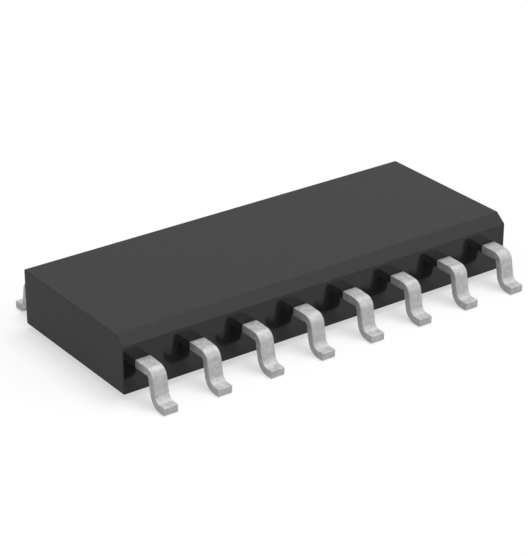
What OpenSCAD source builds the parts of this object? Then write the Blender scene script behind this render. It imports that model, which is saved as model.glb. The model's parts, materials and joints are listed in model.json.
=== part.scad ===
// Narrow small-outline integrated circuit with sixteen gull-wing leads.
// X runs along the package, Y across it and Z up from the board. The origin is on the board,
// under the middle of the package. Lead 1 is at the -X end of the bevelled -Y side, and the
// numbers run on anticlockwise as seen from above.

/* [Moulded body] */
// Length of the moulded body
body_length = 9.8; // [9.7:0.05:10.4]
// Width of the moulded body between the two rows of leads
body_width = 3.75; // [3.6:0.05:4.2]
// Thickness of the moulded body
body_thickness = 1.24; // [1.15:0.01:1.6]
// Gap between the underside of the body and the board
stand_off = 0.12; // [0.05:0.01:0.2]
// Width of the bevel along the top edge over leads 1 to 8
bevel_width = 0.25; // [0.1:0.01:0.4]
// Height of the same bevel
bevel_height = 0.2; // [0.1:0.01:0.3]
// Diameter of the ejector pin marks in the underside
ejector_diameter = 0.9; // [0.5:0.05:1.4]
// Depth of the ejector pin marks
ejector_depth = 0.03; // [0.01:0.01:0.08]
// Distance between the two ejector pin marks
ejector_spacing = 6; // [3:0.1:7.5]

/* [Outer leads] */
// Number of leads in each of the two rows
leads_per_row = 8; // [4:1:8]
// Distance from lead to lead along a row
lead_pitch = 1.27; // [1.1:0.01:1.27]
// Width of a lead outside the body
lead_width = 0.34; // [0.3:0.01:0.45]
// Thickness of the strip that the leads and the die pad are stamped from
strip_thickness = 0.17; // [0.12:0.01:0.22]
// Length of the flat of the foot that rests on the board
foot_length = 0.16; // [0.1:0.01:0.4]
// Height of the top of the lead shoulders over the board
shoulder_height = 0.81; // [0.75:0.01:0.95]
// Distance from the body's side to the sharp outer corner of the knee
shoulder_reach = 0.57; // [0.45:0.01:0.65]
// Lean of the shank outwards from the vertical, in degrees
shank_lean = 11; // [2:1:16]
// Inner radius of the bend at the knee
knee_radius = 0.06; // [0.03:0.01:0.12]
// Inner radius of the bend between the shank and the foot
heel_radius = 0.15; // [0.08:0.01:0.18]

/* [Inner leads] */
// Depth of the moulding between the body's side and the anchor tab
tab_cover = 0.1; // [0.06:0.01:0.16]
// Width of the anchor tab that locks a lead in the moulding
tab_width = 0.5; // [0.42:0.01:0.6]
// Length of the anchor tab
tab_length = 0.24; // [0.2:0.01:0.28]
// Diameter of the hole in the anchor tab
tab_hole = 0.14; // [0.08:0.01:0.16]
// Width of an inner finger
finger_width = 0.22; // [0.16:0.01:0.26]
// Distance from tip to tip along a row of inner fingers
tip_pitch = 0.85; // [0.75:0.01:1]
// Length of the straight tip of an inner finger
tip_length = 0.14; // [0.1:0.01:0.2]
// Gap between the finger tips and the die pad
tip_gap = 0.15; // [0.1:0.01:0.2]

/* [Die pad] */
// Length of the die pad
pad_length = 5.8; // [4:0.1:6.4]
// Width of the die pad
pad_width = 1.5; // [1.3:0.05:1.6]
// Drop of the die pad below the level of the leads
pad_drop = 0.15; // [0.05:0.01:0.2]
// Width of the two tie bars
tie_width = 0.3; // [0.2:0.01:0.5]
// Length of the low and of the sloping stretch of a tie bar
tie_step = 0.25; // [0.2:0.01:0.4]
// Depth of moulding over the end of a tie bar
tie_cover = 0.15; // [0.1:0.01:0.3]

/* [Die] */
// Length of the silicon die
die_length = 2.6; // [2.5:0.05:3.4]
// Width of the silicon die
die_width = 1.2; // [0.9:0.05:1.2]
// Thickness of the silicon die
die_thickness = 0.25; // [0.15:0.01:0.28]
// Thickness of the die attach layer
attach_thickness = 0.03; // [0.02:0.01:0.05]
// How far the die attach layer squeezes out past the die
attach_margin = 0.05; // [0.02:0.01:0.08]

/* [Bond wires] */
// Diameter of the bond wires
wire_diameter = 0.03; // [0.02:0.005:0.05]
// Diameter of the ball bonds on the die
ball_diameter = 0.08; // [0.06:0.01:0.12]
// Height of the ball bonds
ball_height = 0.025; // [0.015:0.005:0.04]
// Distance from bond to bond along an edge of the die
bond_pitch = 0.3; // [0.2:0.01:0.32]
// Distance from the middle of a ball bond to the edge of the die
bond_inset = 0.09; // [0.07:0.01:0.15]
// Height of the wire loops over the die
loop_height = 0.16; // [0.12:0.01:0.18]
// Radius of the bend at the top of a wire loop
loop_radius = 0.06; // [0.04:0.01:0.08]
// Distance from the end of a finger to the point where its wire is stitched down
stitch_inset = 0.06; // [0.04:0.01:0.08]

/* [Hidden] */
$fn = 48;
eps = 0.01;
// The bends of the bond wires turn by whole steps of this many degrees. Such an angle is written
// out exactly, so the end of a bend and the straight run after it share one face.
angle_step = 0.01;
lead_count = 2 * leads_per_row;
LEADS = [for (n = [1:lead_count]) str("lead_", n)];
WIRES = [for (n = [1:lead_count]) str("bond_wire_", n)];

body_top = stand_off + body_thickness;
side_y = body_width / 2;

// side view of a lead: its turn at each bend, and the lengths of its shoulder and shank
turn = 90 - shank_lean;
shoulder_under = shoulder_height - strip_thickness;
heel_outer = heel_radius + strip_thickness;
bends = knee_radius + heel_outer;
shoulder_run = shoulder_reach - (knee_radius + strip_thickness) * tan(turn / 2);
shank_run = (shoulder_under - bends * (1 - cos(turn))) / sin(turn);

// plan of the inner leads: distance in from the middle plane of the package
tab_outer_y = side_y - tab_cover;
tab_inner_y = tab_outer_y - tab_length;
tip_end_y = pad_width / 2 + tip_gap;
fan_end_y = tip_end_y + tip_length;

pad_top = shoulder_height - pad_drop;
attach_top = pad_top + attach_thickness;
die_top = attach_top + die_thickness;
stitch_y = tip_end_y + stitch_inset;
bond_y = die_width / 2 - bond_inset;
rise_top = die_top + loop_height - loop_radius;

// place along the row of the lead, finger tip or bond at index i, counted from the -X end
function along_row(i, pitch) = (i - (leads_per_row - 1) / 2) * pitch;

// A lead seen from the side is a chain of runs and bends. Each starts in a frame of its own, in
// which the strip runs along +Y, with its underside on X = 0 and its top on X = strip_thickness.
module run(length) {
    square([strip_thickness, length]);
    translate([0, length])
        children();
}

// A bend towards the strip's underside.
module bend_down(radius) {
    outer = radius + strip_thickness;
    translate([-radius, 0]) {
        difference() {
            circle(outer);
            circle(radius);
            translate([-2 * outer, -2 * outer])
                square([4 * outer, 2 * outer]);
            rotate(turn)
                translate([-2 * outer, 0])
                    square([4 * outer, 2 * outer]);
        }
        rotate(turn)
            translate([radius, 0])
                children();
    }
}

// Swaps the strip's underside and top.
module turned_over() {
    translate([strip_thickness, 0])
        mirror([1, 0])
            children();
}

// A bend towards the strip's top.
module bend_up(radius) {
    turned_over()
        bend_down(radius)
            turned_over()
                children();
}

// Side view of a lead from its anchor tab to its toe.
module gull_wing_profile() {
    run(tab_cover + shoulder_run)
        bend_down(knee_radius)
            run(shank_run)
                bend_up(heel_radius)
                    run(foot_length);
}

// Plan of the finger at index i of a row: a strip of one width that jogs towards its tip.
module finger_plan(i) {
    root_x = along_row(i, lead_pitch);
    tip_x = along_row(i, tip_pitch);
    half = finger_width / 2;
    jog = half * tan(atan2(tip_x - root_x, tab_inner_y - fan_end_y) / 2);
    polygon([
        [root_x - half, -tab_inner_y],
        [root_x + half, -tab_inner_y],
        [root_x + half, -tab_inner_y - jog],
        [tip_x + half, -fan_end_y - jog],
        [tip_x + half, -tip_end_y],
        [tip_x - half, -tip_end_y],
        [tip_x - half, -fan_end_y + jog],
        [root_x - half, -tab_inner_y + jog],
    ]);
}

// Turns a piece of the -Y row to the place that lead n has in its own row.
module in_row_of(n) {
    rotate([0, 0, n > leads_per_row ? 180 : 0])
        children();
}

function row_index(n) = (n - 1) % leads_per_row;

// One stamped and formed lead, from its toe to the tip of its inner finger.
module lead(n) {
    i = row_index(n);
    x = along_row(i, lead_pitch);
    color("silver")
        in_row_of(n) {
            translate([x, -tab_outer_y, shoulder_under])
                rotate(180, [1, 0, 1])
                    linear_extrude(lead_width, center = true)
                        gull_wing_profile();
            translate([0, 0, shoulder_under])
                linear_extrude(strip_thickness) {
                    difference() {
                        translate([x - tab_width / 2, -tab_outer_y])
                            square([tab_width, tab_length]);
                        translate([x, -tab_outer_y + tab_length / 2])
                            circle(d = tab_hole);
                    }
                    finger_plan(i);
                }
        }
}

// Side view of the tie bar at the +X end, from inside the die pad to its end.
module tie_bar_profile() {
    low_end = pad_length / 2 + tie_step;
    high_start = low_end + tie_step;
    tie_end = body_length / 2 - tie_cover;
    jog = strip_thickness * tan(atan2(pad_drop, tie_step) / 2);
    polygon([
        [pad_length / 2, pad_top - strip_thickness],
        [low_end + jog, pad_top - strip_thickness],
        [high_start + jog, shoulder_under],
        [tie_end, shoulder_under],
        [tie_end, shoulder_height],
        [high_start, shoulder_height],
        [low_end, pad_top],
        [pad_length / 2, pad_top],
    ]);
}

// The pad that carries the die, set below the leads, with a tie bar at each end.
module die_pad() {
    color("tan") {
        translate([-pad_length / 2, -pad_width / 2, pad_top - strip_thickness])
            cube([pad_length, pad_width, strip_thickness]);
        for (end = [0, 180])
            rotate([0, 0, end])
                rotate([90, 0, 0])
                    linear_extrude(tie_width, center = true)
                        tie_bar_profile();
    }
}

// The film of silver-filled glue under the die.
module die_attach() {
    size = [die_length, die_width] + 2 * attach_margin * [1, 1];
    color("gainsboro")
        translate([-size[0] / 2, -size[1] / 2, pad_top])
            cube([size[0], size[1], attach_thickness]);
}

module silicon_die() {
    color("slategray")
        translate([-die_length / 2, -die_width / 2, attach_top])
            cube([die_length, die_width, die_thickness]);
}

// One bond wire: a ball on the die, a rise, a bend and a straight run down to the finger.
module bond_wire(n) {
    i = row_index(n);
    start = [along_row(i, bond_pitch), -bond_y];
    end = [along_row(i, tip_pitch), -stitch_y];
    reach = norm(end - start);
    heading = atan2(end[1] - start[1], end[0] - start[0]);
    across = reach - loop_radius;
    drop = rise_top - shoulder_height;
    to_stitch = norm([across, drop]);
    slope = angle_step * round((atan2(drop, across) + asin(loop_radius / to_stitch)) / angle_step);
    straight = sqrt(pow(to_stitch, 2) - pow(loop_radius, 2));
    cut_depth = drop + wire_diameter;
    color("gold")
        in_row_of(n)
            translate([start[0], start[1], die_top])
                rotate([0, 0, heading])
                    difference() {
                        union() {
                            cylinder(d = ball_diameter, h = ball_height);
                            rise(rise_top - die_top)
                                loop_bend(90 + slope)
                                    rise(straight + wire_diameter);
                        }
                        translate([reach / 2, -wire_diameter, shoulder_height - die_top - cut_depth])
                            cube([reach, 2 * wire_diameter, cut_depth]);
                    }
}

// A straight stretch of wire along +Z.
module rise(length) {
    cylinder(d = wire_diameter, h = length);
    translate([0, 0, length])
        children();
}

// A bend of the wire from +Z towards +X.
module loop_bend(angle) {
    translate([loop_radius, 0, 0])
        rotate([-90, 0, 0]) {
            rotate([0, 0, 180])
                rotate_extrude(angle = angle)
                    translate([loop_radius, 0])
                        circle(d = wire_diameter);
            rotate([0, 0, angle])
                translate([-loop_radius, 0, 0])
                    rotate([90, 0, 0])
                        children();
        }
}

// Everything that the moulding compound closes round.
module embedded_pieces() {
    for (n = [1:lead_count]) {
        lead(n);
        bond_wire(n);
    }
    die_pad();
    die_attach();
    silicon_die();
}

// The moulded block without the pieces inside it.
module body_block() {
    difference() {
        translate([-body_length / 2, 0, 0])
            rotate([90, 0, 90])
                linear_extrude(body_length)
                    polygon([
                        [-side_y, stand_off],
                        [side_y, stand_off],
                        [side_y, body_top],
                        [-side_y + bevel_width, body_top],
                        [-side_y, body_top - bevel_height],
                    ]);
        for (end = [-1, 1])
            translate([end * ejector_spacing / 2, 0, stand_off - eps])
                cylinder(d = ejector_diameter, h = ejector_depth + eps);
    }
}

module moulded_body() {
    color([0.1, 0.1, 0.1])
        difference() {
            body_block();
            embedded_pieces();
        }
}

moulded_body();
die_pad();
die_attach();
silicon_die();
for (n = [1:lead_count]) {
    lead(n);
    bond_wire(n);
}
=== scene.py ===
import json
import math

import bmesh
import bpy
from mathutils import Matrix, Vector


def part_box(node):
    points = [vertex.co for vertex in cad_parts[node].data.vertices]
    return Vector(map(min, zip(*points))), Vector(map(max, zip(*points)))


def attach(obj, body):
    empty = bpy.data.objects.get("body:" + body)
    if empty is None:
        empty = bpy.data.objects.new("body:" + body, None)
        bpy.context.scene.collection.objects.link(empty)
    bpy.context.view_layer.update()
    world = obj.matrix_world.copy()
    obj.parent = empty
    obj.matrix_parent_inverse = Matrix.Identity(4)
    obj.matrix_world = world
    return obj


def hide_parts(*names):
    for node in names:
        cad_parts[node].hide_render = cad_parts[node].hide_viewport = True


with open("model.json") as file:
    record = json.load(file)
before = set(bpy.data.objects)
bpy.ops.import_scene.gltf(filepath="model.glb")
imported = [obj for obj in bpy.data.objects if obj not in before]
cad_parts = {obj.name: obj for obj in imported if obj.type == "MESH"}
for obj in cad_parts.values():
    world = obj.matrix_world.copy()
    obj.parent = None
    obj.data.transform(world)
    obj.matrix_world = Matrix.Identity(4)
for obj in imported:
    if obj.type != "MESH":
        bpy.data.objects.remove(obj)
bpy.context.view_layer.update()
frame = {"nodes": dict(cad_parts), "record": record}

MM = 0.001
scene = bpy.context.scene

BODY_EDGE = 0.018 * MM
LEAD_EDGE = 0.022 * MM
EDGE_SEGMENTS = 3
SHORTEST_EDGE = 0.15 * MM
SHARP = math.radians(30)
FLAT = math.radians(0.5)
SAME_POINT = 1e-8
ON_FACE = 1e-7
CAMERA_AZIMUTH = math.radians(-35.83)
CAMERA_ELEVATION = math.radians(26.08)
CAMERA_DISTANCE = 43.126 * MM
CAMERA_TARGET = Vector((-0.357, -0.233, 0.700)) * MM
CAMERA_LENS = 132.74
CAMERA_SENSOR = 36
CAMERA_RANGE = (1 * MM, 10)
WHITE = (1, 1, 1, 1)
SKY_LIGHT = 0.38
SKY_SEEN = 0.85
FLOOR_COLOUR = (0.45, 0.45, 0.45, 1)
FLOOR_LIFT = 0.58
FLOOR_HALF = 0.4
FLOOR_SHIFT = 0.15
FLOOR_GAP = 0.002 * MM


def socket_link(tree, source, target):
    """Joins an output socket to an input socket."""
    tree.links.new(source, target)


def new_material(name):
    """A new material, its node tree and its Principled BSDF."""
    material = bpy.data.materials.new(name)
    material.use_nodes = True
    return material, material.node_tree, material.node_tree.nodes["Principled BSDF"]


def noise(tree, coordinates, size, detail=4.0, roughness=0.55, stretch=(1, 1, 1)):
    """A noise texture whose features are about size metres across."""
    mapping = tree.nodes.new("ShaderNodeMapping")
    mapping.inputs["Scale"].default_value = stretch
    socket_link(tree, coordinates, mapping.inputs["Vector"])
    texture = tree.nodes.new("ShaderNodeTexNoise")
    texture.inputs["Scale"].default_value = 1 / size
    texture.inputs["Detail"].default_value = detail
    texture.inputs["Roughness"].default_value = roughness
    socket_link(tree, mapping.outputs["Vector"], texture.inputs["Vector"])
    return texture.outputs["Fac"]


def remap(tree, value, low, high, start=0.3, end=0.7):
    """Maps a noise value onto the span from low to high."""
    node = tree.nodes.new("ShaderNodeMapRange")
    node.inputs["From Min"].default_value = start
    node.inputs["From Max"].default_value = end
    node.inputs["To Min"].default_value = low
    node.inputs["To Max"].default_value = high
    socket_link(tree, value, node.inputs["Value"])
    return node.outputs["Result"]


def ramp(tree, value, dark, light):
    """Turns a noise value into a colour between dark and light."""
    node = tree.nodes.new("ShaderNodeValToRGB")
    node.color_ramp.elements[0].position = 0.3
    node.color_ramp.elements[0].color = dark
    node.color_ramp.elements[1].position = 0.7
    node.color_ramp.elements[1].color = light
    socket_link(tree, value, node.inputs["Fac"])
    return node.outputs["Color"]


def long_side(tree, others, sides):
    """One value on the long side walls, which face along Y, and another on all other faces."""
    facing = tree.nodes.new("ShaderNodeSeparateXYZ")
    socket_link(tree, tree.nodes.new("ShaderNodeTexCoord").outputs["Normal"],
                facing.inputs["Vector"])
    straight = tree.nodes.new("ShaderNodeMath")
    straight.operation = "ABSOLUTE"
    socket_link(tree, facing.outputs["Y"], straight.inputs[0])
    share = remap(tree, straight.outputs["Value"], 0, 1, start=0.8, end=0.95)
    mix = tree.nodes.new("ShaderNodeMix")
    socket_link(tree, share, mix.inputs["Factor"])
    socket_link(tree, others, mix.inputs["A"])
    socket_link(tree, sides, mix.inputs["B"])
    return mix.outputs["Result"]


def bump(tree, shader, height, depth, strength):
    """Fine surface texture, depth metres deep."""
    node = tree.nodes.new("ShaderNodeBump")
    node.inputs["Distance"].default_value = depth
    node.inputs["Strength"].default_value = strength
    socket_link(tree, height, node.inputs["Height"])
    socket_link(tree, node.outputs["Normal"], shader.inputs["Normal"])


def moulding_compound():
    """Black epoxy filled with fine silica: matte, but smoother on the long side walls."""
    material, tree, shader = new_material("moulding_compound")
    place = tree.nodes.new("ShaderNodeTexCoord").outputs["Object"]
    grain = noise(tree, place, 0.03 * MM, detail=6)
    patches = noise(tree, place, 0.9 * MM, detail=3)
    socket_link(tree, ramp(tree, patches, (0.0030, 0.0030, 0.0032, 1), (0.0042, 0.0042, 0.0044, 1)),
                shader.inputs["Base Color"])
    matte = remap(tree, grain, 0.60, 0.70)
    smooth = remap(tree, grain, 0.08, 0.13)
    socket_link(tree, long_side(tree, matte, smooth), shader.inputs["Roughness"])
    sheen = remap(tree, grain, 0.48, 0.52)
    side_sheen = remap(tree, grain, 0.35, 0.39)
    socket_link(tree, long_side(tree, sheen, side_sheen), shader.inputs["Specular IOR Level"])
    bump(tree, shader, grain, 0.0004 * MM, 0.25)
    return material


def tin_plate():
    """Matte tin over stamped copper alloy: pale grey, soft, with faint drawing marks."""
    material, tree, shader = new_material("tin_plate")
    place = tree.nodes.new("ShaderNodeTexCoord").outputs["Object"]
    grain = noise(tree, place, 0.025 * MM, detail=6)
    patches = noise(tree, place, 0.10 * MM, detail=4)
    socket_link(tree, ramp(tree, patches, (0.455, 0.455, 0.45, 1), (0.645, 0.645, 0.64, 1)),
                shader.inputs["Base Color"])
    socket_link(tree, remap(tree, patches, 0.46, 0.58), shader.inputs["Roughness"])
    shader.inputs["Metallic"].default_value = 0.25
    bump(tree, shader, grain, 0.0012 * MM, 0.5)
    return material


def inner_metal(name, dark, light, roughness_low, roughness_high):
    """Bare metal inside the moulding, with faint marks along the part."""
    material, tree, shader = new_material(name)
    place = tree.nodes.new("ShaderNodeTexCoord").outputs["Object"]
    marks = noise(tree, place, 0.05 * MM, detail=4, stretch=(0.15, 1, 1))
    socket_link(tree, ramp(tree, marks, dark, light), shader.inputs["Base Color"])
    socket_link(tree, remap(tree, marks, roughness_low, roughness_high),
                shader.inputs["Roughness"])
    shader.inputs["Metallic"].default_value = 1
    bump(tree, shader, marks, 0.0008 * MM, 0.4)
    return material


def silver_glue():
    """Epoxy filled with silver flakes, under the die."""
    material, tree, shader = new_material("silver_glue")
    place = tree.nodes.new("ShaderNodeTexCoord").outputs["Object"]
    flakes = noise(tree, place, 0.02 * MM, detail=6)
    socket_link(tree, ramp(tree, flakes, (0.42, 0.42, 0.41, 1), (0.68, 0.68, 0.67, 1)),
                shader.inputs["Base Color"])
    socket_link(tree, remap(tree, flakes, 0.45, 0.65), shader.inputs["Roughness"])
    shader.inputs["Metallic"].default_value = 0.5
    bump(tree, shader, flakes, 0.002 * MM, 0.6)
    return material


def silicon():
    """The die, with thin films that tint it."""
    material, tree, shader = new_material("silicon")
    place = tree.nodes.new("ShaderNodeTexCoord").outputs["Object"]
    film = noise(tree, place, 0.35 * MM, detail=2)
    socket_link(tree, ramp(tree, film, (0.10, 0.12, 0.16, 1), (0.17, 0.17, 0.22, 1)),
                shader.inputs["Base Color"])
    socket_link(tree, remap(tree, film, 0.08, 0.16), shader.inputs["Roughness"])
    shader.inputs["Metallic"].default_value = 0.6
    bump(tree, shader, film, 0.0003 * MM, 0.2)
    return material


def flush_copy(node):
    """A copy of a CAD node as closed polygons, without the triangle edges inside flat faces."""
    mesh = frame["nodes"][node].data.copy()
    if "custom_normal" in mesh.attributes:
        mesh.attributes.remove(mesh.attributes["custom_normal"])
    work = bmesh.new()
    work.from_mesh(mesh)
    bmesh.ops.remove_doubles(work, verts=work.verts, dist=SAME_POINT)
    bmesh.ops.dissolve_limit(work, angle_limit=FLAT, verts=work.verts,
                             edges=work.edges, use_dissolve_boundaries=False)
    return mesh, work


def dressed(node, mesh, work, edge, wanted, material):
    """A piece that stands for a CAD node, with the chosen edges eased."""
    weight = work.edges.layers.float.new("bevel_weight_edge")
    for line in work.edges:
        crease = len(line.link_faces) == 2 and line.calc_face_angle() > SHARP
        if crease and wanted(line):
            line[weight] = 1
        elif crease:
            line.smooth = False
    for face in work.faces:
        face.smooth = True
    work.to_mesh(mesh)
    work.free()
    mesh.materials.clear()
    mesh.materials.append(material)
    piece = bpy.data.objects.new(node + "_dressed", mesh)
    scene.collection.objects.link(piece)
    rounding = piece.modifiers.new("eased_edges", "BEVEL")
    rounding.width = edge
    rounding.segments = EDGE_SEGMENTS
    rounding.limit_method = "WEIGHT"
    rounding.harden_normals = True
    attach(piece, "root")
    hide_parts(node)


# camera
back = Vector((math.sin(CAMERA_AZIMUTH) * math.cos(CAMERA_ELEVATION),
               -math.cos(CAMERA_AZIMUTH) * math.cos(CAMERA_ELEVATION),
               math.sin(CAMERA_ELEVATION)))
camera_data = bpy.data.cameras.new("camera")
camera_data.lens = CAMERA_LENS
camera_data.sensor_width = CAMERA_SENSOR
camera_data.clip_start, camera_data.clip_end = CAMERA_RANGE
camera = bpy.data.objects.new("camera", camera_data)
camera.location = CAMERA_TARGET + back * CAMERA_DISTANCE
camera.rotation_euler = back.to_track_quat("Z", "Y").to_euler()
scene.collection.objects.link(camera)
scene.camera = camera

# materials of every CAD node
compound = moulding_compound()
tin = tin_plate()
materials = {
    "moulding_compound": compound,
    "tin_plate": tin,
    "copper_alloy": inner_metal("copper_alloy", (0.52, 0.27, 0.16, 1), (0.72, 0.42, 0.28, 1),
                                0.28, 0.42),
    "silver_glue": silver_glue(),
    "silicon": silicon(),
    "gold_wire": inner_metal("gold_wire", (0.75, 0.52, 0.18, 1), (0.92, 0.68, 0.30, 1),
                             0.15, 0.28),
}
slot_of = {part["node"]: part["material_slot"] for part in frame["record"]["subparts"]}
for name, piece in frame["nodes"].items():
    for place in piece.material_slots:
        place.material = materials[slot_of[name]]

# body: the outer edges of the block are eased, the openings for the leads stay as they are
low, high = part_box("moulded_body")


def on_outside(point):
    """How many of the block's six outer planes a point lies on."""
    return sum(abs(point[axis] - corner[axis]) < ON_FACE
               for axis in range(3) for corner in (low, high))


def outer_edge(line):
    ends = [corner.co for corner in line.verts]
    return all(on_outside(end) >= 2 for end in ends) and line.calc_length() > SHORTEST_EDGE


mesh, work = flush_copy("moulded_body")
dressed("moulded_body", mesh, work, BODY_EDGE, outer_edge, compound)

# leads: every sharp edge that a press leaves outside the moulding is eased
for name in sorted(frame["nodes"]):
    if not name.startswith("lead_"):
        continue
    mesh, work = flush_copy(name)
    dressed(name, mesh, work, LEAD_EDGE,
            lambda line: all(corner.co.y < low.y or corner.co.y > high.y for corner in line.verts),
            tin)

# stage: a pale floor that lets the part be seen from below
def background_level(tree, lighting, seen_level):
    """The strength that lights the part, and the one that the camera and reflections see."""
    paths = tree.nodes.new("ShaderNodeLightPath")
    direct = tree.nodes.new("ShaderNodeMath")
    direct.operation = "MAXIMUM"
    socket_link(tree, paths.outputs["Is Camera Ray"], direct.inputs[0])
    socket_link(tree, paths.outputs["Is Glossy Ray"], direct.inputs[1])
    seen = tree.nodes.new("ShaderNodeMath")
    seen.operation = "MAXIMUM"
    socket_link(tree, direct.outputs["Value"], seen.inputs[0])
    socket_link(tree, paths.outputs["Is Transmission Ray"], seen.inputs[1])
    level = tree.nodes.new("ShaderNodeMapRange")
    level.inputs["To Min"].default_value = lighting
    level.inputs["To Max"].default_value = seen_level
    socket_link(tree, seen.outputs["Value"], level.inputs["Value"])
    return level.outputs["Result"]


floor_mesh = bpy.data.meshes.new("floor")
floor_mesh.from_pydata([(x * FLOOR_HALF, y * FLOOR_HALF, 0)
                        for x, y in ((-1, -1), (1, -1), (1, 1), (-1, 1))], [], [(0, 1, 2, 3)])
floor = bpy.data.objects.new("floor", floor_mesh)
# set off to one side, so that the seam of the floor's two triangles doesn't run under the part
floor.location = (FLOOR_SHIFT, 0, -FLOOR_GAP)
scene.collection.objects.link(floor)
floor_material, tree, shader = new_material("floor")
shader.inputs["Base Color"].default_value = FLOOR_COLOUR
shader.inputs["Roughness"].default_value = 0.9
shader.inputs["Specular IOR Level"].default_value = 0
shader.inputs["Emission Color"].default_value = WHITE
socket_link(tree, background_level(tree, 0, FLOOR_LIFT), shader.inputs["Emission Strength"])
from_below = tree.nodes.new("ShaderNodeMixShader")
socket_link(tree, tree.nodes.new("ShaderNodeNewGeometry").outputs["Backfacing"],
            from_below.inputs["Fac"])
socket_link(tree, shader.outputs["BSDF"], from_below.inputs[1])
socket_link(tree, tree.nodes.new("ShaderNodeBsdfTransparent").outputs["BSDF"],
            from_below.inputs[2])
socket_link(tree, from_below.outputs["Shader"],
            tree.nodes["Material Output"].inputs["Surface"])
floor_mesh.materials.append(floor_material)

world = bpy.data.worlds.new("studio")
scene.world = world
world.use_nodes = True
tree = world.node_tree
background = tree.nodes["Background"]
socket_link(tree, background_level(tree, SKY_LIGHT, SKY_SEEN), background.inputs["Strength"])
background.inputs["Color"].default_value = WHITE


def soft_light(name, direction, strength, spread):
    """A distant lamp, spread over an angle in degrees as a large softbox is."""
    data = bpy.data.lights.new(name, "SUN")
    data.energy = strength
    data.angle = math.radians(spread)
    lamp = bpy.data.objects.new(name, data)
    lamp.rotation_euler = Vector(direction).to_track_quat("Z", "Y").to_euler()
    scene.collection.objects.link(lamp)


soft_light("key", (0.35, 0.1, 1.6), 1.62, 36)
soft_light("fill", (1.0, -1.1, 0.8), 0.55, 39)

scene.view_settings.view_transform = "Standard"
